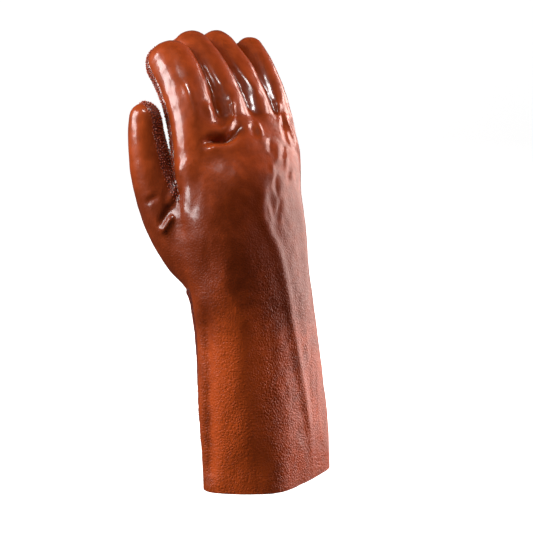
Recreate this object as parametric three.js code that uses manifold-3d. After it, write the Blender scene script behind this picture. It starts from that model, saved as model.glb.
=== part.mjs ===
// A work gauntlet for the right hand, standing on its open cuff with the fingers up.
// Lengths are millimetres. +Z is up, the back of the hand looks along -Y, the palm along +Y,
// the thumb is on the -X side and the little finger on the +X side.

import * as THREE from "three";
import Module from "manifold-3d";

const wasm = await Module();
wasm.setup();

// Driving sizes
const WALL = 1.6; // knitted liner and coating together
const GRIP_COAT = 0.9; // rough second coat on the palm side
const GRIP_GAP = 0.35; // clearance between the two coats
const GRIP_HEM = 3; // bare strip that the rough coat leaves above the hem
const GRIP_ANGLE = 164; // how far the rough coat reaches round the sleeve and each finger, in degrees
const SLEEVE_LENGTH = 262; // hem to the crotches between the fingers
const CUFF_WIDTH = 117;
const CUFF_DEPTH = 74;
const WRIST_WIDTH = 97;
const WRIST_DEPTH = 66;
const PALM_WIDTH = 104;
const PALM_DEPTH = 58;
const FOLD_DEPTH = 6; // deepest dent or highest ridge pressed into the sleeve

// Each finger's size. Length runs from its root inside the palm to the middle of its round tip.
const INDEX = { length: 83, width: 35, depth: 34 };
const MIDDLE = { length: 100, width: 30, depth: 32 };
const RING = { length: 103, width: 29, depth: 31 };
const LITTLE = { length: 96, width: 26, depth: 28 };
const THUMB = { length: 110, width: 33, depth: 33 };

const CUFF = { width: CUFF_WIDTH, depth: CUFF_DEPTH };
const WRIST = { width: WRIST_WIDTH, depth: WRIST_DEPTH };
const PALM = { width: PALM_WIDTH, depth: PALM_DEPTH };

// Mesh fineness
const SLEEVE_SIDES = 32;
const SLEEVE_STEP = 12;
const FINGER_SIDES = 12;
const FINGER_STEP = 10;
const TIP_RINGS = 3;
const ROOT_RINGS = 2;

// Sections of the sleeve and palm. "at" is a share of the sleeve length. "wide", "x" and "shear" are shares
// of the width, and "deep", "y", "tilt" and "arch" of the depth, of the section named by "of". Shear slides
// the back of the section towards the thumb, tilt brings its little finger's edge towards the palm, arch
// brings both edges there, and "round" is the exponent of the outline: 1 is a rhombus, 2 an ellipse.
const SECTIONS = [
  {
    at: 0, of: CUFF, wide: 1, deep: 1, round: 1.25, shear: 0.14,
    x: 0.01, y: 0, tilt: 0, arch: 0,
  },
  {
    at: 0.12, of: CUFF, wide: 0.99, deep: 0.98, round: 1.35, shear: 0.12,
    x: -0.005, y: 0, tilt: 0, arch: 0,
  },
  {
    at: 0.28, of: CUFF, wide: 0.94, deep: 0.95, round: 1.5, shear: 0.1,
    x: -0.04, y: -0.01, tilt: 0, arch: 0,
  },
  {
    at: 0.42, of: WRIST, wide: 1.04, deep: 1.02, round: 1.75, shear: 0.06,
    x: -0.09, y: -0.02, tilt: 0, arch: 0,
  },
  {
    at: 0.55, of: WRIST, wide: 1, deep: 1, round: 2, shear: 0.03,
    x: -0.155, y: -0.03, tilt: 0, arch: 0,
  },
  {
    at: 0.67, of: WRIST, wide: 1.02, deep: 0.95, round: 2.1, shear: 0,
    x: -0.19, y: -0.03, tilt: 0.03, arch: 0.06,
  },
  {
    at: 0.79, of: PALM, wide: 0.93, deep: 0.94, round: 2.2, shear: 0,
    x: -0.165, y: -0.01, tilt: 0.05, arch: 0.15,
  },
  {
    at: 0.88, of: PALM, wide: 0.96, deep: 0.76, round: 2.3, shear: 0,
    x: -0.12, y: 0.02, tilt: 0.06, arch: 0.26,
  },
  {
    at: 0.94, of: PALM, wide: 0.93, deep: 0.54, round: 2.3, shear: 0,
    x: -0.11, y: 0.1, tilt: 0.08, arch: 0.28,
  },
  {
    at: 1, of: PALM, wide: 0.74, deep: 0.16, round: 2.3, shear: 0,
    x: -0.1, y: 0.24, tilt: 0.08, arch: 0.22,
  },
];

// Fingers from the index to the thumb. "x" and "y" place the root as shares of the palm's width and depth,
// "at" as a share of the sleeve length. "root" and "tip" are shares of the finger's width and depth, and
// "pad" turns its pad round it, in degrees. "lean" and "curl" are the angles from upright at the root and
// at the tip, in degrees, "heading" turns the way it curls from straight ahead of the palm towards the
// thumb, and "ease" tells how late the curl comes.
const FINGERS = [
  {
    size: INDEX, x: -0.46, y: 0.25, at: 0.86, root: 1, tip: 0.96, pad: 0,
    lean: 3, curl: 54, heading: -1, ease: 1,
  },
  {
    size: MIDDLE, x: -0.185, y: 0.14, at: 0.86, root: 1, tip: 0.94, pad: 0,
    lean: 11, curl: 62, heading: 3, ease: 1,
  },
  {
    size: RING, x: 0.05, y: 0.2, at: 0.86, root: 1, tip: 0.93, pad: 0,
    lean: 13, curl: 64, heading: 1, ease: 1,
  },
  {
    size: LITTLE, x: 0.245, y: 0.33, at: 0.85, root: 1, tip: 0.84, pad: 0,
    lean: 7, curl: 58, heading: -6, ease: 1,
  },
  {
    size: THUMB, x: -0.4, y: 0.26, at: 0.62, root: 1.36, tip: 0.78, pad: 207,
    lean: 52, curl: -3, heading: 56, ease: 0.7,
  },
];

// Dents and ridges of the sleeve. "at" is a share of the sleeve length, "turn" the place round it in
// degrees from the little finger's side over the palm, "tall" and "wide" how far it spreads, as a share of
// the sleeve length and in degrees, and "out" its height as a share of the fold depth.
const FOLDS = [
  { at: 0.69, turn: 116, tall: 0.13, wide: 32, out: 2 }, // ball of the thumb
  { at: 0.7, turn: 40, tall: 0.12, wide: 30, out: 0.9 }, // heel of the hand
  { at: 0.9, turn: 255, tall: 0.035, wide: 34, out: -0.6 }, // dent under the knuckles
  { at: 0.72, turn: 318, tall: 0.12, wide: 12, out: 0.35 }, // ridge on the little finger's side
  { at: 0.74, turn: 262, tall: 0.08, wide: 34, out: -0.35 }, // hollow on the back of the hand
  { at: 0.62, turn: 205, tall: 0.06, wide: 20, out: -0.5 }, // dent behind the thumb
  { at: 0.78, turn: 90, tall: 0.09, wide: 34, out: -0.9 }, // hollow in the palm
  { at: 0.55, turn: 100, tall: 0.025, wide: 40, out: -0.6 }, // fold at the wrist
];

const DEGREE = Math.PI / 180;

// Smooth value of one column of a table between its rows, each row's value times the size it follows.
function column(rows, at, value) {
  let i = 0;
  while (i < rows.length - 2 && at > rows[i + 1].at) i += 1;
  const point = (n) => value(rows[Math.min(Math.max(n, 0), rows.length - 1)]);
  const span = rows[i + 1].at - rows[i].at;
  const t = (at - rows[i].at) / span;
  const slope = (n) => {
    const low = rows[Math.max(n - 1, 0)].at;
    const high = rows[Math.min(n + 1, rows.length - 1)].at;
    return (point(n + 1) - point(n - 1)) / (high - low);
  };
  const t2 = t * t;
  const t3 = t2 * t;
  return (
    (2 * t3 - 3 * t2 + 1) * point(i) +
    (t3 - 2 * t2 + t) * slope(i) * span +
    (3 * t2 - 2 * t3) * point(i + 1) +
    (t3 - t2) * slope(i + 1) * span
  );
}

const powered = (v, exponent) => Math.sign(v) * Math.abs(v) ** (2 / exponent);

// Height of all dents and ridges at a place on the sleeve.
function foldHeight(at, turn) {
  let out = 0;
  for (const fold of FOLDS) {
    const along = (at - fold.at) / fold.tall;
    const aside = ((turn - fold.turn + 540) % 360 - 180) / fold.wide;
    out += fold.out * Math.exp(-along * along - aside * aside);
  }
  return out * FOLD_DEPTH;
}

// One level ring of the sleeve, "out" millimetres outside the smooth coat.
function sleeveRing(at, out) {
  const halfWidth = column(SECTIONS, at, (row) => (row.wide * row.of.width) / 2);
  const halfDepth = column(SECTIONS, at, (row) => (row.deep * row.of.depth) / 2);
  const x = column(SECTIONS, at, (row) => row.x * row.of.width);
  const y = column(SECTIONS, at, (row) => row.y * row.of.depth);
  const shear = column(SECTIONS, at, (row) => row.shear * row.of.width);
  const tilt = column(SECTIONS, at, (row) => row.tilt * row.of.depth);
  const arch = column(SECTIONS, at, (row) => row.arch * row.of.depth);
  const round = column(SECTIONS, at, (row) => row.round);
  const ring = [];
  for (let j = 0; j < SLEEVE_SIDES; j += 1) {
    const turn = (360 * j) / SLEEVE_SIDES;
    const across = powered(Math.cos(turn * DEGREE), round);
    const ahead = powered(Math.sin(turn * DEGREE), round);
    const grow = out(turn) + foldHeight(at, turn);
    ring.push(
      new THREE.Vector3(
        x + across * (halfWidth + grow) + shear * ahead,
        y + ahead * (halfDepth + grow) + tilt * across + arch * across * across,
        at * SLEEVE_LENGTH,
      ),
    );
  }
  return ring;
}

// Place and direction along the middle line of a finger, at a share of its length.
function fingerLine(finger) {
  const steps = Math.ceil(finger.size.length / FINGER_STEP);
  const heading = finger.heading * DEGREE;
  const forward = new THREE.Vector3(-Math.sin(heading), Math.cos(heading), 0);
  const place = new THREE.Vector3(
    finger.x * PALM_WIDTH,
    finger.y * PALM_DEPTH,
    finger.at * SLEEVE_LENGTH,
  );
  const line = [];
  for (let i = 0; i <= steps; i += 1) {
    const share = i / steps;
    const lean = (finger.lean + (finger.curl - finger.lean) * share ** finger.ease) * DEGREE;
    const along = forward.clone().multiplyScalar(Math.sin(lean));
    along.z = Math.cos(lean);
    const inward = forward.clone().multiplyScalar(Math.cos(lean));
    inward.z = -Math.sin(lean);
    line.push({ place: place.clone(), along, inward, share });
    place.addScaledVector(along, finger.size.length / steps);
  }
  return line;
}

// Rings of one finger, round at its tip and at its root inside the palm.
function fingerRings(finger, out) {
  const line = fingerLine(finger);
  const rings = [];
  const addRing = (station, slide, shrink) => {
    const scale = finger.root + (finger.tip - finger.root) * station.share;
    const side = new THREE.Vector3().crossVectors(station.inward, station.along);
    const ring = [];
    for (let j = 0; j < FINGER_SIDES; j += 1) {
      const turn = (360 * (j + 0.5)) / FINGER_SIDES;
      const grow = out(turn - finger.pad);
      const halfWidth = (finger.size.width / 2) * scale + grow;
      const halfDepth = (finger.size.depth / 2) * scale + grow;
      ring.push(
        station.place
          .clone()
          .addScaledVector(station.along, slide * halfDepth)
          .addScaledVector(side, Math.cos(turn * DEGREE) * halfWidth * shrink)
          .addScaledVector(station.inward, Math.sin(turn * DEGREE) * halfDepth * shrink),
      );
    }
    rings.push(ring);
  };
  for (let i = ROOT_RINGS; i > 0; i -= 1) {
    const angle = (i / (ROOT_RINGS + 0.5)) * 90 * DEGREE;
    addRing(line[0], -Math.sin(angle), Math.cos(angle));
  }
  line.forEach((station) => addRing(station, 0, 1));
  for (let i = 1; i <= TIP_RINGS; i += 1) {
    const angle = (i / (TIP_RINGS + 0.5)) * 90 * DEGREE;
    addRing(line.at(-1), Math.sin(angle), Math.cos(angle));
  }
  return rings;
}

// Closed solid through a stack of rings, each closed at both ends by a fan.
function loft(rings) {
  const sides = rings[0].length;
  const points = rings.flat();
  const middle = (ring) =>
    ring.reduce((sum, p) => sum.add(p), new THREE.Vector3()).divideScalar(sides);
  points.push(middle(rings[0]), middle(rings.at(-1)));
  const faces = [];
  const top = (rings.length - 1) * sides;
  for (let j = 0; j < sides; j += 1) {
    const next = (j + 1) % sides;
    for (let low = 0; low < top; low += sides) {
      const high = low + sides;
      faces.push(low + j, low + next, high + next, low + j, high + next, high + j);
    }
    faces.push(points.length - 2, next, j, points.length - 1, top + j, top + next);
  }
  return new wasm.Manifold(
    new wasm.Mesh({
      numProp: 3,
      vertProperties: new Float32Array(points.flatMap((p) => p.toArray())),
      triVerts: new Uint32Array(faces),
    }),
  );
}

// The whole hand form, "out" millimetres outside the smooth coat, between two heights of the sleeve. The
// rings between them are at the same heights in every form, so the facets of nested forms lie parallel.
function handForm(out, from, to) {
  const heights = [from];
  const steps = Math.ceil(SLEEVE_LENGTH / SLEEVE_STEP);
  for (let i = 0; i < steps; i += 1) {
    const height = (SLEEVE_LENGTH * i) / steps;
    if (height > from && height < to) heights.push(height);
  }
  heights.push(to);
  const sleeve = loft(heights.map((height) => sleeveRing(height / SLEEVE_LENGTH, out)));
  return FINGERS.reduce((form, finger) => form.add(loft(fingerRings(finger, out))), sleeve);
}

// A hollow shell: its outer form less its inside, which runs out through the hem.
function gloveShell() {
  const outer = handForm(() => 0, 0, SLEEVE_LENGTH);
  const inner = handForm(() => -WALL, -WALL, SLEEVE_LENGTH - WALL);
  return outer.subtract(inner);
}

// The rough coat covers the palm side, and the pads of the fingers and of the thumb.
function gripCoat() {
  const onPalm = (turn) => {
    const fromPad = Math.abs(((turn - 90 + 540) % 360) - 180);
    return fromPad < GRIP_ANGLE / 2 ? GRIP_GAP + GRIP_COAT : -WALL;
  };
  const covered = handForm(onPalm, GRIP_HEM, SLEEVE_LENGTH);
  const cleared = handForm(() => GRIP_GAP, 0, SLEEVE_LENGTH);
  const bodies = covered.subtract(cleared).decompose();
  return bodies.reduce((widest, body) => (body.volume() > widest.volume() ? body : widest));
}

function meshOf(name, solid, colour, roughness) {
  const mesh = solid.getMesh();
  const geometry = new THREE.BufferGeometry();
  geometry.setAttribute("position", new THREE.BufferAttribute(mesh.vertProperties, 3));
  geometry.setIndex(new THREE.BufferAttribute(mesh.triVerts, 1));
  const material = new THREE.MeshStandardMaterial({ color: colour, roughness, metalness: 0 });
  const made = new THREE.Mesh(geometry, material);
  made.name = name;
  return made;
}

const glove = new THREE.Group();
glove.add(meshOf("glove_shell", gloveShell(), 0x8f3512, 0.35));
glove.add(meshOf("palm_grip_coat", gripCoat(), 0x5f1c08, 0.45));

// The origin is the middle of the glove's footprint box, on the surface that it stands on.
const box = new THREE.Box3().setFromObject(glove);
const middle = box.getCenter(new THREE.Vector3());
for (const mesh of glove.children) mesh.geometry.translate(-middle.x, -middle.y, 0);

export default glove;
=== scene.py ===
import math

import bpy
import numpy as np
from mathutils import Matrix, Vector


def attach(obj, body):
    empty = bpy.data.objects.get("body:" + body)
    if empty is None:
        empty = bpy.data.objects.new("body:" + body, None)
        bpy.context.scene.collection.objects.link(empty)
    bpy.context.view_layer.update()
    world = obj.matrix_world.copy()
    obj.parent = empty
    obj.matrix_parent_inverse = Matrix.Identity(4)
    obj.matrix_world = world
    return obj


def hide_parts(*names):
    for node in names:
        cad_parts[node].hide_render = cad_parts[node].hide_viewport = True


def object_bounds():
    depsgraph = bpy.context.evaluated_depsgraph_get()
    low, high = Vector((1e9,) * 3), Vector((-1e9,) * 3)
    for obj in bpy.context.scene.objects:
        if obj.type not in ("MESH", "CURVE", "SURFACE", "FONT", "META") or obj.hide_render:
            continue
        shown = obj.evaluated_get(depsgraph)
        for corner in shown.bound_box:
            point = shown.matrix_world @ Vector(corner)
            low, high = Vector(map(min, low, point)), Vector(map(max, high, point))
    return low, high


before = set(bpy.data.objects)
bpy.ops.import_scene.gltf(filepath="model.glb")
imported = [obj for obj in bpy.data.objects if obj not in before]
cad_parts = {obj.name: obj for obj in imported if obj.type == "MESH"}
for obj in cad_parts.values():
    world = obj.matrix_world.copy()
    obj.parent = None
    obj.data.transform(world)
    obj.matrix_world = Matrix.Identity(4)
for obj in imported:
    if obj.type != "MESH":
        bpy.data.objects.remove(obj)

# A vinyl gauntlet for the right hand, standing on its hem. The glove is worked out as a field of distances
# in millimetres, negative inside, and its skins are drawn through that field.
# +Z is up, the back of the hand looks along -Y, the thumb is on the -X side.

cad_low, cad_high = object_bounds()

MM = 0.001

# Sizes of the glove, in millimetres
WALL = 1.6
GRIP_COAT = 1.1
SLEEVE_LENGTH = 262
CUFF = (117, 74)
WRIST = (97, 66)
PALM = (104, 58)
FOLD_DEPTH = 6

# Fineness of the field, in millimetres
CELL = 1.5
INNER_STRIDE = 2
ROOM = 9

# Sections of the sleeve and palm. "at" is a share of the sleeve length. The other columns are shares of the
# width or depth of the section named by "of", and "round" is the outline's exponent.
SECTIONS = [
    dict(at=0.00, of=CUFF, wide=1.00, deep=1.00, round=1.25, shear=0.14, x=0.01, y=0, tilt=0, arch=0),
    dict(at=0.12, of=CUFF, wide=0.99, deep=0.98, round=1.35, shear=0.12, x=-0.005, y=0, tilt=0, arch=0),
    dict(at=0.28, of=CUFF, wide=0.94, deep=0.95, round=1.5, shear=0.1, x=-0.04, y=-0.01, tilt=0, arch=0),
    dict(at=0.42, of=WRIST, wide=1.04, deep=1.02, round=1.75, shear=0.06, x=-0.09, y=-0.02, tilt=0, arch=0),
    dict(at=0.55, of=WRIST, wide=1.00, deep=1.00, round=2.0, shear=0.03, x=-0.155, y=-0.03, tilt=0, arch=0),
    dict(at=0.67, of=WRIST, wide=1.02, deep=0.95, round=2.1, shear=0, x=-0.19, y=-0.03, tilt=0.03, arch=0.06),
    dict(at=0.79, of=PALM, wide=0.93, deep=0.94, round=2.2, shear=0, x=-0.165, y=-0.01, tilt=0.05, arch=0.15),
    dict(at=0.88, of=PALM, wide=0.96, deep=0.76, round=2.3, shear=0, x=-0.12, y=0.02, tilt=0.06, arch=0.26),
    dict(at=0.94, of=PALM, wide=0.93, deep=0.54, round=2.3, shear=0, x=-0.11, y=0.1, tilt=0.08, arch=0.28),
    dict(at=1.00, of=PALM, wide=0.74, deep=0.16, round=2.3, shear=0, x=-0.1, y=0.24, tilt=0.08, arch=0.22),
]

# Fingers: length, width and depth in millimetres, the root's place in shares of the palm and of the sleeve,
# shares of the size at root and tip, and the angles of its middle line in degrees.
FINGERS = dict(
    index=dict(
        length=83, width=35, depth=34, x=-0.46, y=0.25, at=0.86, root=1.0, tip=0.96,
        lean=3, curl=54, heading=-1, ease=1, pad=0,
    ),
    middle=dict(
        length=100, width=30, depth=32, x=-0.185, y=0.14, at=0.86, root=1.0, tip=0.94,
        lean=11, curl=62, heading=3, ease=1, pad=0,
    ),
    ring=dict(
        length=103, width=29, depth=31, x=0.05, y=0.2, at=0.86, root=1.0, tip=0.93,
        lean=13, curl=64, heading=1, ease=1, pad=0,
    ),
    little=dict(
        length=96, width=26, depth=28, x=0.245, y=0.33, at=0.85, root=1.0, tip=0.84,
        lean=7, curl=58, heading=-6, ease=1, pad=0,
    ),
    thumb=dict(
        length=111, width=33, depth=33, x=-0.4, y=0.26, at=0.62, root=1.4, tip=0.63,
        lean=52, curl=-1, heading=56, ease=0.7, pad=207,
    ),
)
FINGER_STATION = 10
LINE_FINENESS = 4

# Rounding of the sleeve's upright edges, fillets between the fingers, at their roots, at the sleeve's top and
# round the thumb, and the heights between which the web widens the thumb's fillet, in millimetres
EDGE_ROUNDING = 9
FINGER_FILLET = 1.5
ROOT_FILLET = 6
TOP_FILLET = 6
THUMB_FILLET = 2
WEB_FILLET = 9
WEB_TOP = 222
WEB_FOOT = 165

# Dents and ridges of the sleeve, placed by share of its length and by degrees round it.
FOLDS = [
    dict(at=0.69, turn=116, tall=0.13, wide=32, out=2.0),
    dict(at=0.7, turn=40, tall=0.12, wide=30, out=0.9),
    dict(at=0.9, turn=255, tall=0.035, wide=34, out=-0.6),
    dict(at=0.72, turn=318, tall=0.12, wide=12, out=0.35),
    dict(at=0.74, turn=262, tall=0.08, wide=34, out=-0.35),
    dict(at=0.62, turn=205, tall=0.06, wide=20, out=-0.5),
    dict(at=0.78, turn=90, tall=0.09, wide=34, out=-0.9),
    dict(at=0.55, turn=100, tall=0.025, wide=40, out=-0.6),
]

# Folds drawn as lines on the photograph, in its pixels, with their width and height in millimetres. A share
# of the line at each end, "taper", rises to the full height.
LINE_STEPS = 10
LINES = [
    # crescent under the middle finger's knuckle, the bulge above it and the lit patch below it
    dict(
        line=[
            (196, 147), (204, 143.5), (211, 140.5), (219, 138.5), (227, 137.5), (234, 133), (239.5, 126),
            (241.5, 119),
        ],
        wide=3.0, out=-7.2, taper=0.45,
    ),
    dict(line=[(204, 134), (213, 131), (223, 130), (231, 125), (236, 117)], wide=5, out=1.7, taper=0.3),
    dict(line=[(207, 147), (214, 145), (222, 145)], wide=4, out=0.9, taper=0.5),
    # lip round the root of the middle finger
    dict(
        line=[(230, 94), (232, 105), (233, 115), (231.5, 122), (228, 128), (221, 131.5)],
        wide=1.8, out=1.5, taper=0.2,
    ),
    # end of the groove between the index and middle fingers, and the ridge beside it
    dict(line=[(211, 95), (215, 107), (219, 119)], wide=2.2, out=-1.8, taper=0.3),
    dict(line=[(205, 100), (209, 110), (213, 124)], wide=3.2, out=1.2, taper=0.4),
    # ridges along the backs of the fingers
    dict(line=[(183, 74), (189, 92), (194, 110), (198, 130)], wide=3.6, out=1.1, taper=0.3),
    dict(line=[(198, 50), (209, 66), (219, 83), (228, 93)], wide=3.4, out=0.9, taper=0.3),
    dict(line=[(222, 50), (237, 68), (252, 85), (262, 99)], wide=3.4, out=0.9, taper=0.3),
    # thin ridge below the groove between the middle and ring fingers, and its shaded side
    dict(line=[(254, 116), (258, 125), (260.5, 132), (263, 139)], wide=1.9, out=1.2, taper=0.4),
    dict(line=[(250, 121), (254, 131), (258, 141)], wide=2.8, out=-1.2, taper=0.4),
    # folds running down from the little finger
    dict(line=[(275, 97), (277.5, 107), (278, 118), (280, 129)], wide=2.0, out=1.4, taper=0.3),
    dict(line=[(281, 111), (286, 120), (290, 130), (293.5, 140), (296, 147)], wide=1.9, out=1.5, taper=0.3),
    dict(line=[(281, 119), (284, 129), (287, 139), (291, 151)], wide=2.0, out=-1.4, taper=0.3),
    dict(line=[(288, 112), (292, 122), (295.5, 132), (298, 140)], wide=2.0, out=-1.4, taper=0.3),
    # crinkles on the little finger's side of the hand
    dict(line=[(271, 136), (270, 146), (271, 156)], wide=1.9, out=-0.8, taper=0.4),
    dict(line=[(276, 141), (278, 152), (277, 165)], wide=1.9, out=0.7, taper=0.4),
    dict(line=[(283, 138), (284, 149), (282, 160)], wide=1.9, out=-0.9, taper=0.4),
    dict(line=[(288, 152), (286, 163), (287, 175)], wide=1.9, out=0.7, taper=0.4),
    dict(line=[(291, 163), (289.5, 173), (287, 185)], wide=1.9, out=-1.0, taper=0.4),
    dict(line=[(270, 160), (273, 172), (271, 186)], wide=1.9, out=0.6, taper=0.4),
    dict(line=[(277, 172), (276, 186), (279, 200)], wide=1.9, out=-0.7, taper=0.4),
    dict(line=[(268, 200), (270, 214), (273, 228)], wide=1.9, out=0.6, taper=0.4),
    dict(line=[(281, 195), (279, 210), (276, 226)], wide=1.9, out=-0.6, taper=0.4),
    # edge from the hand down the cuff, between its back and the little finger's side
    dict(
        line=[
            (266, 165), (264, 190), (263, 212), (268, 230), (276, 246), (281, 265), (286, 288), (290, 311),
            (294, 332), (299, 366), (306, 405), (311, 443), (314, 481),
        ],
        wide=4.5, out=1.3, taper=0.15,
    ),
    # folds in the web of the thumb
    dict(line=[(177, 180), (173, 192), (168, 207)], wide=2.2, out=1.8, taper=0.3),
    dict(line=[(174, 214), (167, 224), (161, 236)], wide=2.4, out=2.2, taper=0.3),
    dict(line=[(172, 203), (166, 215), (158, 228)], wide=2.8, out=-2.4, taper=0.3),
    dict(line=[(144, 205), (152, 199), (161, 195)], wide=2.2, out=-1.2, taper=0.4),
    # edge of the hand beside the thumb, and the swelling next to it
    dict(line=[(182, 153), (181, 175), (180, 190), (179, 207), (177, 229)], wide=3.0, out=1.3, taper=0.2),
    dict(line=[(187, 150), (187, 175), (186, 205), (183, 235)], wide=7, out=2.0, taper=0.25),
    # soft groove up the thumb's side of the cuff, and the swelling next to it
    dict(
        line=[(203, 300), (205, 340), (206, 380), (207, 420), (208, 460), (208, 488)],
        wide=6, out=-3.4, taper=0.15,
    ),
    dict(line=[(235, 285), (239, 330), (243, 380), (247, 430), (250, 475)], wide=13, out=2.2, taper=0.25),
]

# Random unevenness of the whole surface: size of its bumps along x, y and z, and height, in millimetres
WAVES = [
    dict(size=(13, 13, 22), height=0.35, seed=3),
    dict(size=(6, 6, 9), height=0.2, seed=5),
    dict(size=(3.4, 3.4, 5), height=0.08, seed=8),
]

# The rough coat: how far it stays from the widest line of the sleeve and from the hem, how far its extents on
# sleeve and fingers blend, how wide its sloping edge is, how deep that edge sinks in, and how thick its sheet
# is, in millimetres. On a finger it stays from the widest line by a share of the finger's radius, and wraps
# over the tip by a share of the way past the finger's end.
COAT_SIDE = 6
COAT_SIDE_SHARE = 0.14
COAT_OVER_TIP = 0.45
COAT_HEM = 3
COAT_BLEND = 1.5
COAT_SLOPE = 2.5
COAT_SUNK = 0.4
COAT_BACK = 0.9
COAT_LUMPS = dict(size=2.8, height=0.22, seed=21)

# Grains of the rough coat: the heights that they lie between, their least spacing, breadth and height, in
# millimetres, the most of them on a square metre, and the range of shares in which they differ
PALM_GRAINS = dict(above=150, below=400, spacing=1.3, breadth=1.3, tall=0.85, seed=11)
CUFF_GRAINS = dict(above=0, below=150, spacing=1.12, breadth=1.05, tall=0.55, seed=12)
MOST_GRAINS = 1.2e6
GRAIN_SIZES = (0.6, 1.15)

# One grain of unit breadth and height: its sides, and radius and height of its lower and upper ring
GRAIN_SIDES = 5
GRAIN_RINGS = ((0.5, -0.25), (0.36, 0.65))

# Where the smooth vinyl's finish changes, and where its painted light on the cuff and its painted shade round
# the wrist rise and fade, from and to, in metres above the hem
HAND = (0.15, 0.24)
WEB = (0.13, 0.2)
FINGER_BACKS = (0.225, 0.265)
CREASED_CUFF = (0.03, 0.2)
# painted light on the cuff's back fades out between these heights
PAINTED_LIGHT_FADE = (0.1, 0.17)
# painted shade round the wrist and the lower back of the hand rises between the first heights and fades
# between the second
PAINTED_SHADE_FOOT = (0.09, 0.15)
PAINTED_SHADE_TOP = (0.19, 0.25)
ROUGH_HAND = (0.12, 0.2)

# The same sideways, in metres from the middle: the thumb's side of the web, and both edges of the painted
# light, a lightened band up the cuff's back that stands in for the left soft box's light, which runs at a
# slant to its width and depth
WEB_SIDE = (-0.034, -0.05)
PAINTED_LIGHT_ASLANT = (0.82, -0.57)
PAINTED_LIGHT_START = (-0.018, 0.0)
PAINTED_LIGHT_END = (0.016, 0.036)

# Sizes of the vinyl's patterns, in millimetres, and the depth of its relief
CLOUDS = 26
PATCHES = 7
SOFT_DIMPLES = 4.5
LEATHER_CELLS = 2.1
LEATHER_DRIFT = (2.2, 1.6)
LEATHER_FUZZ = 0.9
LEATHER_DEPTH = 0.42
GRIT_CLOUDS = 14
GRIT = 1.1
GRIT_DEPTH = 0.5

# Colours of the smooth vinyl, of the grains, and of the ground between them, which is painted dark as shade
# in the crevices
VINYL_DEEP = (0.13, 0.017, 0.002, 1)
VINYL_BRIGHT = (0.41, 0.06, 0.008, 1)
GRIT_DEEP = (0.15, 0.015, 0.002, 1)
GRIT_BRIGHT = (0.38, 0.046, 0.006, 1)
PAINTED_SHADE_GROUND_DEEP = (0.05, 0.005, 0.001, 1)
PAINTED_SHADE_GROUND_BRIGHT = (0.13, 0.014, 0.002, 1)


def hem_middle():
    """The middle of the hem in millimetres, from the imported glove's lowest corners."""
    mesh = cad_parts["glove_shell"].data
    co = np.array([v.co for v in mesh.vertices]) / MM
    hem = co[co[:, 2] < 0.1]
    return (hem.min(0) + hem.max(0)) / 2


def column(at, name, side=None):
    """One column of the sections table at many heights, smooth between its rows, in millimetres."""
    knots = np.array([row["at"] for row in SECTIONS])
    values = np.array([row[name] * (1 if side is None else row["of"][side]) for row in SECTIONS])
    slopes = np.empty_like(values)
    slopes[1:-1] = (values[2:] - values[:-2]) / (knots[2:] - knots[:-2])
    slopes[0] = (values[1] - values[0]) / (knots[1] - knots[0])
    slopes[-1] = (values[-1] - values[-2]) / (knots[-1] - knots[-2])
    i = np.clip(np.searchsorted(knots, at, "right") - 1, 0, len(knots) - 2)
    span = knots[i + 1] - knots[i]
    t = (at - knots[i]) / span
    return (
        (2 * t**3 - 3 * t**2 + 1) * values[i]
        + (t**3 - 2 * t**2 + t) * slopes[i] * span
        + (3 * t**2 - 2 * t**3) * values[i + 1]
        + (t**3 - t**2) * slopes[i + 1] * span
    )


def fold_height(at, turn):
    """Height of all dents and ridges at places on the sleeve, in millimetres."""
    out = 0
    for fold in FOLDS:
        along = (at - fold["at"]) / fold["tall"]
        aside = ((turn - fold["turn"] + 540) % 360 - 180) / fold["wide"]
        out = out + fold["out"] * np.exp(-(along**2) - aside**2)
    return out * FOLD_DEPTH


def sleeve_field(x, y, z):
    """Distance from the sleeve and palm, without the fingers, and how far a place is on the palm side."""
    at = np.clip(z / SLEEVE_LENGTH, 0, 1)
    half_wide = column(at, "wide", 0) / 2
    half_deep = column(at, "deep", 1) / 2
    shear = column(at, "shear", 0)
    tilt = column(at, "tilt", 1)
    arch = column(at, "arch", 1)
    from_x = x - middle[0] + column(0, "x", 0) - column(at, "x", 0)
    from_y = y - middle[1] + column(0, "y", 1) - column(at, "y", 1)
    ahead = from_y / half_deep
    for _ in range(5):
        across = (from_x - shear * np.clip(ahead, -1.3, 1.3)) / half_wide
        bound = np.clip(across, -1.3, 1.3)
        ahead = (from_y - tilt * bound - arch * bound**2) / half_deep
    power = column(at, "round")
    reach = (np.abs(across) ** power + np.abs(ahead) ** power) ** (1 / power)
    turn = np.degrees(
        np.arctan2(
            np.sign(ahead) * np.abs(ahead) ** (power / 2),
            np.sign(across) * np.abs(across) ** (power / 2),
        )
    )
    slope = np.sqrt(sum(g**2 for g in np.gradient(reach, CELL))) + 1e-4
    distance = blurred((reach - 1) / slope, EDGE_ROUNDING) - fold_height(at, turn)
    return soft_max(distance, z - SLEEVE_LENGTH, TOP_FILLET), ahead * half_deep - COAT_SIDE


def blurred(field, radius):
    """The field averaged sideways over a radius in millimetres, which rounds upright edges."""
    reach = math.ceil(2 * radius / CELL)
    weights = np.exp(-((np.arange(-reach, reach + 1) * CELL / radius) ** 2))
    weights /= weights.sum()
    for k in (0, 1):
        total = 0
        for offset, weight in zip(range(-reach, reach + 1), weights):
            index = np.clip(np.arange(field.shape[k]) + offset, 0, field.shape[k] - 1)
            total = total + weight * np.take(field, index, k)
        field = total
    return field


def soft_min(a, b, blend):
    """The lower of two fields, with a fillet where they meet."""
    near = np.maximum(blend - np.abs(a - b), 0) / blend
    return np.minimum(a, b) - near**2 * blend / 4


def soft_max(a, b, blend):
    """The higher of two fields, with a fillet where they meet."""
    return -soft_min(-a, -b, blend)


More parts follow.
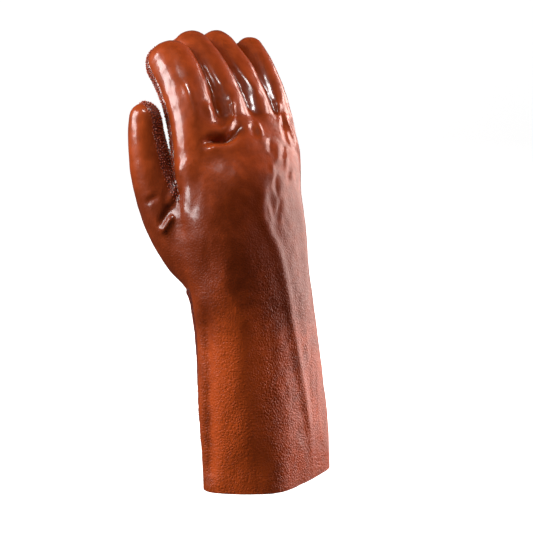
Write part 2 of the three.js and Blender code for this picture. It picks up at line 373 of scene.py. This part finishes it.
def finger_line(finger):
    """Points along a finger's middle line, with its side and inward directions and its size there."""
    stations = math.ceil(finger["length"] / FINGER_STATION)
    heading = math.radians(finger["heading"])
    forward = np.array([-math.sin(heading), math.cos(heading), 0])
    up = np.array([0, 0, 1.0])
    place = np.array([finger["x"] * PALM[0], finger["y"] * PALM[1], finger["at"] * SLEEVE_LENGTH])
    place[:2] += middle[:2] - [column(0, "x", 0), column(0, "y", 1)]
    places, leans = [], []
    for i in range(stations + 1):
        lean = finger["lean"] + (finger["curl"] - finger["lean"]) * (i / stations) ** finger["ease"]
        places.append(place)
        leans.append(math.radians(lean))
        step = (forward * math.sin(leans[-1]) + up * math.cos(leans[-1])) * finger["length"] / stations
        place = place + step
    places, leans = np.array(places), np.array(leans)
    fine = np.linspace(0, stations, stations * LINE_FINENESS + 1)
    spline = np.stack([smooth_between(fine, places[:, k]) for k in range(3)], 1)
    lean = smooth_between(fine, leans)[:, None]
    along = forward * np.sin(lean) + up * np.cos(lean)
    inward = forward * np.cos(lean) - up * np.sin(lean)
    side = np.cross(inward, along)
    scale = finger["root"] + (finger["tip"] - finger["root"]) * fine / stations
    return spline, along, side, inward, scale


def smooth_between(at, values):
    """Values between whole-numbered stations on a smooth curve through them."""
    i = np.clip(at.astype(int), 0, len(values) - 2)
    t = at - i
    pad = np.concatenate([[2 * values[0] - values[1]], values, [2 * values[-1] - values[-2]]])
    a, b, c, d = (pad[i + k] for k in range(4))
    return b + t * (c - a) / 2 + t**2 * (a - 2.5 * b + 2 * c - d / 2) + t**3 * (1.5 * (b - c) + (d - a) / 2)


def finger_field(finger, x, y, z):
    """Distance from one finger, and how far a place is on its padded side."""
    line, along, side, inward, scale = finger_line(finger)
    reach = max(finger["width"], finger["depth"]) / 2 * finger["root"] + ROOM
    box = [
        slice(
            max(0, np.searchsorted(axis, line[:, k].min() - reach)),
            np.searchsorted(axis, line[:, k].max() + reach),
        )
        for k, axis in enumerate((x, y, z))
    ]
    points = np.stack(np.meshgrid(x[box[0]], y[box[1]], z[box[2]], indexing="ij"), -1)
    nearest = np.full(points.shape[:3], 1e3)
    padded = np.zeros(points.shape[:3])
    pad = math.radians(90 + finger["pad"])
    for i in range(len(line)):
        off = points - line[i]
        ahead = off @ along[i]
        if 0 < i < len(line) - 1:
            step = np.linalg.norm(line[i + 1] - line[i])
            ahead = ahead - np.clip(ahead, -step / 2, step / 2)
        wide = off @ side[i] / (finger["width"] / 2 * scale[i])
        deep = off @ inward[i] / (finger["depth"] / 2 * scale[i])
        radius = (finger["width"] + finger["depth"]) / 4 * scale[i]
        away = (np.sqrt(wide**2 + deep**2 + (ahead / radius) ** 2) - 1) * radius
        to_pad = (wide * math.cos(pad) + deep * math.sin(pad) - COAT_SIDE_SHARE) * radius
        to_pad = to_pad + COAT_OVER_TIP * np.maximum(ahead, 0)
        padded = np.where(away < nearest, to_pad, padded)
        nearest = np.minimum(nearest, away)
    whole = np.full((2, len(x), len(y), len(z)), float(ROOM))
    whole[(slice(None), *box)] = nearest, padded
    return whole


def glove_field():
    """The glove's distances and its coat's extent on a grid, with the grid's axes."""
    low = np.array(cad_low) / MM - ROOM
    high = np.array(cad_high) / MM + ROOM
    x, y, z = (np.arange(a, b, CELL) for a, b in zip(low, high))
    parts = dict(sleeve=sleeve_field(x[:, None, None], y[None, :, None], z[None, None, :]))
    for name, finger in FINGERS.items():
        parts[name] = finger_field(finger, x, y, z)
    fingers = parts["index"][0]
    for name in ("middle", "ring", "little"):
        fingers = soft_min(fingers, parts[name][0], FINGER_FILLET)
    field = soft_min(parts["sleeve"][0], fingers, ROOT_FILLET)
    web = np.clip((WEB_TOP - z) / (WEB_TOP - WEB_FOOT), 0, 1)
    field = soft_min(field, parts["thumb"][0], THUMB_FILLET + WEB_FILLET * web[None, None, :])
    closeness = {name: np.exp(-np.clip(part[0], 0, ROOM) / COAT_BLEND) for name, part in parts.items()}
    coated = sum(closeness[name] * part[1] for name, part in parts.items()) / sum(closeness.values())
    return field, np.minimum(coated, z - COAT_HEM), (x, y, z)


def sample(field, axes, points):
    """The field between its grid points."""
    place = (points - [axis[0] for axis in axes]) / CELL
    cell = np.clip(place.astype(int), 0, np.array(field.shape) - 2)
    share = np.clip(place - cell, 0, 1)
    total = 0
    for dx in (0, 1):
        for dy in (0, 1):
            for dz in (0, 1):
                weight = 1
                for k, d in enumerate((dx, dy, dz)):
                    weight = weight * (share[:, k] if d else 1 - share[:, k])
                total = total + weight * field[cell[:, 0] + dx, cell[:, 1] + dy, cell[:, 2] + dz]
    return total


def slope_at(field, axes, points):
    """The field's direction of steepest rise at points."""
    rise = np.empty_like(points)
    for k in range(3):
        step = np.zeros(3)
        step[k] = CELL / 2
        rise[:, k] = sample(field, axes, points + step) - sample(field, axes, points - step)
    return rise / CELL


def skin(field, axes, stride=1):
    """Points and quads of the surface where the field is zero."""
    values = field[::stride, ::stride, ::stride]
    start = np.array([axis[0] for axis in axes])
    inside = values < 0
    count = np.zeros(np.array(values.shape) - 1, int)
    corners = [(a, b, c) for a in (0, 1) for b in (0, 1) for c in (0, 1)]
    for a, b, c in corners:
        count += inside[a : a + count.shape[0], b : b + count.shape[1], c : c + count.shape[2]]
    crossed = (count > 0) & (count < 8)
    cells = np.argwhere(crossed)
    number = np.full(count.shape, -1)
    number[tuple(cells.T)] = np.arange(len(cells))
    total = np.zeros((len(cells), 3))
    hits = np.zeros(len(cells))
    for k in range(3):
        for corner in corners:
            if corner[k]:
                continue
            end = list(corner)
            end[k] = 1
            a = values[tuple((cells + corner).T)]
            b = values[tuple((cells + end).T)]
            cuts = (a < 0) != (b < 0)
            share = np.where(cuts, a / np.where(cuts, a - b, 1), 0)
            place = np.array(corner, float) + np.zeros((len(cells), 3))
            place[:, k] = share
            total += place * cuts[:, None]
            hits += cuts
    points = start + (cells + total / hits[:, None]) * CELL * stride
    quads = []
    for k in range(3):
        change = inside != np.roll(inside, -1, k)
        edges = np.argwhere(change)
        u, v = (k + 1) % 3, (k + 2) % 3
        limit = np.array(count.shape)
        keep = (edges[:, k] < limit[k]) & (edges[:, u] > 0) & (edges[:, v] > 0)
        keep &= (edges[:, u] < limit[u]) & (edges[:, v] < limit[v])
        edges = edges[keep]
        ring = []
        for du, dv in ((1, 1), (0, 1), (0, 0), (1, 0)):
            cell = edges.copy()
            cell[:, u] -= du
            cell[:, v] -= dv
            ring.append(number[tuple(cell.T)])
        quad = np.stack(ring, 1)
        outward = inside[tuple(edges.T)]
        quad[~outward] = quad[~outward][:, ::-1]
        quads.append(quad)
    return points, np.concatenate(quads)


def relax(points, quads, field, axes, rounds):
    """Evens out a skin's points and puts them back on the surface."""
    pairs = np.concatenate([quads[:, [0, 1]], quads[:, [1, 2]], quads[:, [2, 3]], quads[:, [3, 0]]])
    count = np.bincount(pairs.ravel(), minlength=len(points))[:, None]
    for _ in range(rounds):
        total = np.zeros_like(points)
        for k in range(3):
            total[:, k] += np.bincount(pairs[:, 0], points[pairs[:, 1], k], len(points))
            total[:, k] += np.bincount(pairs[:, 1], points[pairs[:, 0], k], len(points))
        points = (points + total / count) / 2
        rise = slope_at(field, axes, points)
        steep = np.maximum((rise**2).sum(1), 0.2)
        points = points - rise * (sample(field, axes, points) / steep)[:, None]
    return points


def mesh_of(name, points, faces):
    """A smooth-shaded piece from points in millimetres."""
    mesh = bpy.data.meshes.new(name)
    mesh.from_pydata(points * MM, [], faces)
    mesh.validate()
    for face in mesh.polygons:
        face.use_smooth = True
    return piece_of(name, mesh)


def piece_of(name, mesh):
    """A mesh as an object in the scene."""
    piece = bpy.data.objects.new(name, mesh)
    bpy.context.scene.collection.objects.link(piece)
    return piece


def kept(points, quads, values):
    """The part of a skin where the values are above zero, and how many of its last points are on the cut."""
    above = values[quads] > 0
    faces = quads[above.all(1)].tolist()
    cuts, added = {}, []
    for quad in quads[above.any(1) & ~above.all(1)]:
        ring = []
        for a, b in zip(quad, np.roll(quad, -1)):
            if values[a] > 0:
                ring.append(a)
            if (values[a] > 0) != (values[b] > 0):
                edge = (min(a, b), max(a, b))
                if edge not in cuts:
                    cuts[edge] = len(points) + len(added)
                    added.append(points[a] + (points[b] - points[a]) * values[a] / (values[a] - values[b]))
                ring.append(cuts[edge])
        faces.append(ring)
    every = np.concatenate([points, added])
    used = np.zeros(len(every), bool)
    used[np.concatenate(faces).astype(int)] = True
    number = np.cumsum(used) - 1
    return every[used], [number[face].tolist() for face in faces], len(added)


def hem_faces(points, outer, inner):
    """Triangles that close the hem between the rim points of the outer and inner skins."""

    def round_the_hem(rim):
        off = points[rim] - middle
        turn = np.arctan2(off[:, 1], off[:, 0])
        order = np.argsort(turn)
        return np.append(rim[order], rim[order[0]]), np.append(turn[order], turn[order[0]] + 2 * math.pi)

    outer, outer_turn = round_the_hem(outer)
    inner, inner_turn = round_the_hem(inner)
    i = j = 0
    faces = []
    while i < len(outer) - 1 or j < len(inner) - 1:
        if j == len(inner) - 1 or (i < len(outer) - 1 and outer_turn[i + 1] < inner_turn[j + 1]):
            faces.append([outer[i + 1], outer[i], inner[j]])
            i += 1
        else:
            faces.append([outer[i], inner[j], inner[j + 1]])
            j += 1
    return faces


def waves(points, size, seed):
    """Smooth random heights between -1 and 1 at points, with bumps of a given size in millimetres."""
    place = points / size
    cell = np.floor(place).astype(int)
    share = place - cell
    share = share**2 * (3 - 2 * share)
    heights = np.random.default_rng(seed).uniform(-1, 1, (64, 64, 64))
    total = 0
    for corner in np.ndindex(2, 2, 2):
        weight = np.prod(np.where(corner, share, 1 - share), 1)
        total = total + weight * heights[tuple((cell + corner).T % 64)]
    return total


middle = hem_middle()

# Camera, as the photograph was taken: angles in degrees, distance in metres, lens and sensor in millimetres,
# the picture's side in pixels, and the height and shift sideways of the target, which is the picture's middle
AZIMUTH = -35
ELEVATION = 9
DISTANCE = 1.2
LENS = 114.2
SENSOR = 36
PICTURE = 533
TARGET_HEIGHT = 0.155
TARGET_SHIFT = 0.01
target = Vector((middle[0] * MM - TARGET_SHIFT * CUFF[0] * MM, middle[1] * MM, TARGET_HEIGHT))
turn_round = math.radians(AZIMUTH)
turn_up = math.radians(ELEVATION)
to_camera = Vector(
    (math.sin(turn_round) * math.cos(turn_up), -math.cos(turn_round) * math.cos(turn_up), math.sin(turn_up))
)
to_right = Vector((math.cos(turn_round), math.sin(turn_round), 0))
camera = bpy.data.objects.new("camera", bpy.data.cameras.new("camera"))
camera.data.lens = LENS
camera.data.sensor_width = SENSOR
camera.location = target + to_camera * DISTANCE
camera.rotation_euler = (-to_camera).to_track_quat("-Z", "Y").to_euler()
bpy.context.scene.collection.objects.link(camera)
bpy.context.scene.camera = camera


# How far before and behind the target a line of sight is followed, in millimetres, and how often a line of
# points found on the glove is evened out
RAY_ROOM = 130
LINE_SMOOTHING = 3


def seen_at(field, axes, pixels):
    """The glove's surface points, in millimetres, that the photograph shows at these pixels."""
    pixels = np.array(pixels, float)
    upward = to_right.cross(-to_camera)
    scale = SENSOR / LENS / PICTURE
    across = (pixels[:, :1] - PICTURE / 2) * scale
    down = (pixels[:, 1:] - PICTURE / 2) * scale
    rays = -np.array(to_camera) + across * np.array(to_right) - down * np.array(upward)
    start = np.array(camera.location) / MM
    reach = np.arange(DISTANCE / MM - RAY_ROOM, DISTANCE / MM + RAY_ROOM, 1.0)
    points = start + rays[:, None, :] * reach[None, :, None]
    depth = sample(field, axes, points.reshape(-1, 3)).reshape(len(pixels), -1)
    first = np.argmax(depth < 0, 1)
    row = np.arange(len(pixels))
    before, after = depth[row, first - 1], depth[row, first]
    back = (after / (after - before))[:, None]
    found = points[row, first] + (points[row, first - 1] - points[row, first]) * back
    for _ in range(LINE_SMOOTHING):
        found[1:-1] = (found[:-2] + 2 * found[1:-1] + found[2:]) / 4
    return found


def line_on_glove(field, axes, fold):
    """A fold's line as points on the glove, with its height at each in millimetres."""
    line = fold["line"]
    steps = np.arange(0, len(line) - 1 + 1e-6, 1 / LINE_STEPS)
    pixels = np.stack([smooth_between(steps, np.array([p[k] for p in line], float)) for k in (0, 1)], 1)
    share = steps / (len(line) - 1)
    swell = np.minimum(1, np.minimum(share, 1 - share) / fold["taper"])
    return seen_at(field, axes, pixels), fold["out"] * swell**2 * (3 - 2 * swell)


def relief(points, lines):
    """How far the surface stands out at points, from its folds and its unevenness, in millimetres."""
    out = np.zeros(len(points))
    for fold, (places, heights) in lines:
        reach = fold["wide"] * 2.5
        near = ((points > places.min(0) - reach) & (points < places.max(0) + reach)).all(1)
        off = ((points[near][:, None] - places) ** 2).sum(2)
        nearest = off.argmin(1)
        out[near] += heights[nearest] * np.exp(-off.min(1) / fold["wide"] ** 2)
    for wave in WAVES:
        out += waves(points, wave["size"], wave["seed"]) * wave["height"]
    return out


def outward_at(field, axes, points):
    """The way out of the surface at points, of unit length."""
    rise = slope_at(field, axes, points)
    return rise / np.linalg.norm(rise, axis=1)[:, None]


# Build of the two skins of the dipped glove, their folds and the rim at the hem
OUTER_ROUNDS = 4
INNER_ROUNDS = 2
field, coated, axes = glove_field()
lines = [(fold, line_on_glove(field, axes, fold)) for fold in LINES]
points, quads = skin(field, axes)
points = relax(points, quads, field, axes, OUTER_ROUNDS)
outward = outward_at(field, axes, points)
points = points + outward * relief(points, lines)[:, None]
inner_points, inner_quads = skin(field + WALL, axes, INNER_STRIDE)
inner_points = relax(inner_points, inner_quads, field + WALL, axes, INNER_ROUNDS)
inward = -outward_at(field, axes, inner_points)
inner_points = inner_points - inward * relief(inner_points - inward * WALL, lines)[:, None]
outer_skin, outer_faces, outer_rim = kept(points, quads, points[:, 2])
inner_skin, inner_faces, inner_rim = kept(inner_points, inner_quads[:, ::-1], inner_points[:, 2])
both = np.concatenate([outer_skin, inner_skin])
rim = hem_faces(
    both,
    np.arange(len(outer_skin) - outer_rim, len(outer_skin)),
    np.arange(len(both) - inner_rim, len(both)),
)
inner_faces = [[i + len(outer_skin) for i in face] for face in inner_faces]
glove = mesh_of("dipped_glove", both, outer_faces + inner_faces + rim)

# Build of the rough coat, which follows the outer skin over the palm side
inside_edge = sample(coated, axes, points)
slope = np.clip(inside_edge / COAT_SLOPE, 0, 1)
slope = slope**2 * (3 - 2 * slope)
lumps = slope * COAT_LUMPS["height"] * waves(points, COAT_LUMPS["size"], COAT_LUMPS["seed"])
lift = (GRIP_COAT + COAT_SUNK) * slope - COAT_SUNK + lumps
coat_points, coat_faces, _ = kept(points + outward * lift[:, None], quads, inside_edge)
coat = mesh_of("rough_palm_coat", coat_points, coat_faces)


class Term:
    """A value in a material: a socket or a number. Sums and products of terms add Math nodes."""

    def __init__(self, tree, value):
        self.tree = tree
        self.value = value

    def node(self, kind, settings, inputs, output=0):
        """A term from any node, given its type, its settings and the values or terms of its sockets."""
        made = self.tree.nodes.new(kind)
        for name, value in settings.items():
            setattr(made, name, value)
        for socket, value in inputs.items():
            if isinstance(value, Term):
                value = value.value
            if isinstance(value, bpy.types.NodeSocket):
                self.tree.links.new(value, made.inputs[socket])
            else:
                made.inputs[socket].default_value = value
        return Term(self.tree, made.outputs[output])

    def maths(self, operation, other):
        """A term from a Math node on this term and another."""
        return self.node("ShaderNodeMath", {"operation": operation}, {0: self, 1: other})

    def __add__(self, other):
        return self.maths("ADD", other)

    def __sub__(self, other):
        return self.maths("SUBTRACT", other)

    def __rsub__(self, other):
        return Term(self.tree, other).maths("SUBTRACT", self)

    def __mul__(self, other):
        return self.maths("MULTIPLY", other)

    __radd__ = __add__
    __rmul__ = __mul__

    def part(self, index):
        """The x, y or z of a place."""
        return self.node("ShaderNodeSeparateXYZ", {}, {0: self}, index)

    def between(self, low, high):
        """0 below one value, 1 above another, and smooth between them."""
        settings = {"interpolation_type": "SMOOTHSTEP"}
        return self.node("ShaderNodeMapRange", settings, {"Value": self, "From Min": low, "From Max": high})

    def noise(self, size, detail=2, distortion=0, output=0):
        """Cloudy noise whose blots have a given size in millimetres, at the places of this term."""
        inputs = {"Vector": self, "Scale": 1 / (size * MM), "Detail": detail, "Distortion": distortion}
        return self.node("ShaderNodeTexNoise", {}, inputs, output)

    def blend(self, first, second):
        """A colour between two colours."""
        return self.node("ShaderNodeMix", {"data_type": "RGBA"}, {0: self, 6: first, 7: second}, 2)


def new_material(name):
    """A material with its shader and the places on the glove, which its patterns follow."""
    material = bpy.data.materials.new(name)
    material.use_nodes = True
    tree = material.node_tree
    shader = tree.nodes["Principled BSDF"]
    places = Term(tree, tree.nodes.new("ShaderNodeTexCoord").outputs["Object"])
    return material, shader, places


def feed(shader, socket, term):
    """Links a term to one of the shader's sockets."""
    term.tree.links.new(term.value, shader.inputs[socket])


def bumped(shader, height, depth):
    """Relief of a depth in millimetres, from a height of 0 to 1."""
    feed(shader, "Normal", height.node("ShaderNodeBump", {}, {"Height": height, "Distance": depth * MM}))


def smooth_vinyl():
    """Red-brown vinyl: glossy on the fingers, satin on the hand, finely creased like leather on the cuff."""
    material, shader, places = new_material("smooth vinyl")
    across, towards_palm, height = (places.part(i) for i in range(3))
    clouds = places.noise(CLOUDS, 3)
    patches = places.noise(PATCHES, 2)

    on_hand = height.between(*HAND)
    on_web = 0.8 * height.between(*WEB) * across.between(*WEB_SIDE)
    on_fingers = on_web.maths("MAXIMUM", height.between(*FINGER_BACKS))
    on_low_cuff = 1 - height.between(*CREASED_CUFF)

    # Painted light: a band up the back of the cuff is lightened to stand in for the left soft box's light
    # falling there, fading out higher up
    painted_light_slant = across * PAINTED_LIGHT_ASLANT[0] + towards_palm * PAINTED_LIGHT_ASLANT[1]
    on_painted_light = painted_light_slant.between(*PAINTED_LIGHT_START) * (1 - painted_light_slant.between(*PAINTED_LIGHT_END))
    painted_light = on_painted_light * (1 - height.between(*PAINTED_LIGHT_FADE))
    # Painted shade: the colour is darkened in a band round the wrist and the lower back of the hand, standing
    # in for the shade that falls there
    painted_shade = height.between(*PAINTED_SHADE_FOOT) * (1 - height.between(*PAINTED_SHADE_TOP))
    tone = (0.36 * clouds + 0.34 * patches + 0.14 + 0.36 * painted_light - 0.22 * painted_shade).between(0.2, 0.85)
    feed(shader, "Base Color", tone.blend(VINYL_DEEP, VINYL_BRIGHT))

    drift = places.node(
        "ShaderNodeVectorMath", {"operation": "MULTIPLY_ADD"},
        {0: places.noise(LEATHER_DRIFT[0], 2, 0, 1), 1: (LEATHER_DRIFT[1] * MM,) * 3, 2: places},
    )
    cells = drift.node(
        "ShaderNodeTexVoronoi", {"feature": "DISTANCE_TO_EDGE"},
        {"Vector": drift, "Scale": 1 / (LEATHER_CELLS * MM)},
    )
    leather = cells.between(0, 0.3) * 0.6 + drift.noise(LEATHER_FUZZ, 2) * 0.5
    creased = 0.08 + 0.3 * (1 - on_hand) + 0.62 * on_low_cuff
    dimples = places.noise(SOFT_DIMPLES, 2)
    bumped(shader, leather * creased + dimples * (0.25 + 0.35 * on_hand), LEATHER_DEPTH)

    feed(shader, "Roughness", 0.42 - 0.05 * on_hand + 0.08 * (patches - 0.5) + 0.08 * (leather - 0.5))
    feed(shader, "Coat Weight", 0.05 + 0.75 * on_fingers * patches.between(0.25, 0.6))
    shader.inputs["Coat Roughness"].default_value = 0.14
    shader.inputs["Specular IOR Level"].default_value = 0.15
    return material


def rough_vinyl(name, deep, bright):
    """The grip coat between two colours: gritty, and duller on the cuff than on the hand."""
    material, shader, places = new_material(name)
    on_hand = places.part(2).between(*ROUGH_HAND)
    clouds = places.noise(GRIT_CLOUDS, 3)
    grit = places.noise(GRIT, 3)
    tone = (clouds * 0.5 + grit * 0.5 + 0.08 * on_hand).between(0.34, 0.68)
    feed(shader, "Base Color", tone.blend(deep, bright))
    bumped(shader, grit, GRIT_DEPTH)
    feed(shader, "Roughness", 0.52 - 0.16 * on_hand + 0.3 * (grit - 0.5))
    feed(shader, "Coat Weight", (0.15 + 0.85 * on_hand) * clouds.between(0.25, 0.5))
    shader.inputs["Coat Roughness"].default_value = 0.16
    shader.inputs["Specular IOR Level"].default_value = 0.35
    return material


def grain_shape():
    """One grain: a low five-sided dome of unit breadth and height, closed underneath."""
    points, faces = [], []
    for radius, high in GRAIN_RINGS:
        for i in range(GRAIN_SIDES):
            turn = 2 * math.pi * (i + high) / GRAIN_SIDES
            points.append((radius * math.cos(turn), radius * math.sin(turn), high))
    points.append((0, 0, 1))
    for i in range(GRAIN_SIDES):
        j = (i + 1) % GRAIN_SIDES
        faces.append((i, j, GRAIN_SIDES + j, GRAIN_SIDES + i))
        faces.append((GRAIN_SIDES + i, GRAIN_SIDES + j, 2 * GRAIN_SIDES))
    faces.append(tuple(range(GRAIN_SIDES))[::-1])
    mesh = bpy.data.meshes.new("grain")
    mesh.from_pydata(points, [], faces)
    for face in mesh.polygons:
        face.use_smooth = True
    return bpy.data.objects.new("grain", mesh)


def grain_nodes():
    """Nodes that strew grains over a mesh between two heights."""
    tree = bpy.data.node_groups.new("strewn grains", "GeometryNodeTree")
    sockets = {}
    for name, kind in (
        ("Geometry", "Geometry"), ("Grain", "Object"), ("Material", "Material"), ("Above", "Float"),
        ("Below", "Float"), ("Spacing", "Float"), ("Breadth", "Float"), ("Tall", "Float"), ("Seed", "Int"),
    ):
        sockets[name] = tree.interface.new_socket(name, in_out="INPUT", socket_type="NodeSocket" + kind)
    tree.interface.new_socket("Geometry", in_out="OUTPUT", socket_type="NodeSocketGeometry")
    given = tree.nodes.new("NodeGroupInput").outputs

    def node(kind, settings, inputs, output=0):
        return Term(tree, None).node(kind, settings, inputs, output)

    height = node("GeometryNodeInputPosition", {}, {}).part(2)
    above = height.maths("GREATER_THAN", Term(tree, given["Above"]))
    below = height.maths("LESS_THAN", Term(tree, given["Below"]))
    strewn = tree.nodes.new("GeometryNodeDistributePointsOnFaces")
    strewn.distribute_method = "POISSON"
    strewn.inputs["Density Max"].default_value = MOST_GRAINS
    for socket, source in (("Mesh", "Geometry"), ("Distance Min", "Spacing"), ("Seed", "Seed")):
        tree.links.new(given[source], strewn.inputs[socket])
    tree.links.new((above * below).value, strewn.inputs["Selection"])
    seed, breadth, tall = (Term(tree, given[name]) for name in ("Seed", "Breadth", "Tall"))
    sizes = {"Min": GRAIN_SIZES[0], "Max": GRAIN_SIZES[1], "Seed": seed}
    size = node("FunctionNodeRandomValue", {}, sizes, 1)
    scale = node("ShaderNodeCombineXYZ", {}, {0: size * breadth, 1: breadth, 2: size * tall})
    grain = node("GeometryNodeObjectInfo", {}, {"Object": Term(tree, given["Grain"])}, "Geometry")
    placed = node(
        "GeometryNodeInstanceOnPoints", {},
        {
            "Points": Term(tree, strewn.outputs["Points"]), "Instance": grain,
            "Rotation": Term(tree, strewn.outputs["Rotation"]), "Scale": scale,
        },
    )
    real = node("GeometryNodeRealizeInstances", {}, {0: placed})
    dressed = node("GeometryNodeSetMaterial", {}, {0: real, "Material": Term(tree, given["Material"])})
    tree.links.new(dressed.value, tree.nodes.new("NodeGroupOutput").inputs[0])
    return tree, {name: socket.identifier for name, socket in sockets.items()}


def strew_grains(name, surface, grains):
    """A piece made of the grains that lie on a surface."""
    strewing = piece_of(name, surface)
    modifier = strewing.modifiers.new("grains", "NODES")
    modifier.node_group = strewn_tree
    modifier[strewn_inputs["Grain"]] = grain
    modifier[strewn_inputs["Material"]] = grain_vinyl
    modifier[strewn_inputs["Seed"]] = grains["seed"]
    for size in ("above", "below", "spacing", "breadth", "tall"):
        modifier[strewn_inputs[size.capitalize()]] = grains[size] * MM
    made = strewing.evaluated_get(bpy.context.evaluated_depsgraph_get())
    mesh = bpy.data.meshes.new_from_object(made)
    bpy.data.objects.remove(strewing)
    mesh.name = name
    return piece_of(name, mesh)


glove.data.materials.append(smooth_vinyl())
# The coat's ground between the grains is painted dark, as shade in the crevices between them
coat.data.materials.append(rough_vinyl("rough vinyl between the grains, painted shade", PAINTED_SHADE_GROUND_DEEP, PAINTED_SHADE_GROUND_BRIGHT))
grain_vinyl = rough_vinyl("rough vinyl grains", GRIT_DEEP, GRIT_BRIGHT)
grain = grain_shape()
strewn_tree, strewn_inputs = grain_nodes()
palm_grains = strew_grains("palm_grains", coat.data, PALM_GRAINS)
cuff_grains = strew_grains("cuff_grains", coat.data, CUFF_GRAINS)
bpy.data.objects.remove(grain)
solid = coat.modifiers.new("back of the coat", "SOLIDIFY")
solid.thickness = COAT_BACK * MM
solid.offset = -1

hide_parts("glove_shell")
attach(glove, "root")
for piece in (coat, palm_grains, cuff_grains):
    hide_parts("palm_grip_coat")
    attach(piece, "root")

# Studio: a round sheet of glowing white paper, by distance and height in metres, which curves up into a wall
# all round. It lights nothing on the glove.
SWEEP = [(0, 0), (1.6, 0), (2.4, 0.05), (2.9, 0.25), (3.2, 0.7), (3.3, 1.4), (3.3, 5)]
SWEEP_SIDES = 64
floor_points, floor_faces = [], []
for distance, height in SWEEP:
    for i in range(SWEEP_SIDES):
        turn = 2 * math.pi * i / SWEEP_SIDES
        floor_points.append((distance * math.cos(turn), distance * math.sin(turn), height))
for ring in range(len(SWEEP) - 1):
    for i in range(SWEEP_SIDES):
        near, far = ring * SWEEP_SIDES, (ring + 1) * SWEEP_SIDES
        j = (i + 1) % SWEEP_SIDES
        floor_faces.append((near + i, far + i, far + j, near + j))
floor_mesh = bpy.data.meshes.new("studio_floor")
floor_mesh.from_pydata(floor_points, [], floor_faces)
for face in floor_mesh.polygons:
    face.use_smooth = True
floor = piece_of("studio_floor", floor_mesh)
paper = bpy.data.materials.new("paper")
paper.use_nodes = True
paper_shader = paper.node_tree.nodes["Principled BSDF"]
paper_shader.inputs["Base Color"].default_value = (0.9, 0.9, 0.9, 1)
paper_shader.inputs["Roughness"].default_value = 0.9
paper_shader.inputs["Emission Color"].default_value = (1, 1, 1, 1)
paper_shader.inputs["Emission Strength"].default_value = 0.82
floor_mesh.materials.append(paper)
floor.visible_glossy = False
floor.visible_diffuse = False


def soft_box(name, right, near, up, size, power, colour):
    """A soft light, placed to the right of, nearer than and above the target."""
    light = bpy.data.lights.new(name, "AREA")
    light.shape = "RECTANGLE"
    light.size, light.size_y = size
    light.energy = power
    light.color = colour
    lamp = bpy.data.objects.new(name, light)
    flat = Vector((to_camera.x, to_camera.y, 0)).normalized()
    lamp.location = target + to_right * right + flat * near + Vector((0, 0, up))
    lamp.rotation_euler = (target - lamp.location).to_track_quat("-Z", "Y").to_euler()
    bpy.context.scene.collection.objects.link(lamp)


# Lights: to the right, nearer and up in metres, width and height in metres, power in watts
WHITE_LIGHT = (1, 1, 1)
WARM_LIGHT = (1, 0.8, 0.74)
soft_box("left_soft_box", -1.2, 0.3, 0.55, (0.9, 0.9), 36, WHITE_LIGHT)
soft_box("right_soft_box", 1.15, -0.35, 0.2, (0.6, 1.3), 36, WARM_LIGHT)
soft_box("edge_soft_box", 0.85, -0.95, 0.12, (0.5, 1.2), 13, WARM_LIGHT)
soft_box("top_soft_box", -0.05, 0.62, 1.15, (0.3, 0.2), 7.5, WHITE_LIGHT)
world = bpy.data.worlds.new("studio")
bpy.context.scene.world = world
world.use_nodes = True
air = world.node_tree.nodes["Background"]
air.inputs["Color"].default_value = (1, 1, 1, 1)
air.inputs["Strength"].default_value = 0.05
bpy.context.scene.view_settings.view_transform = "Standard"
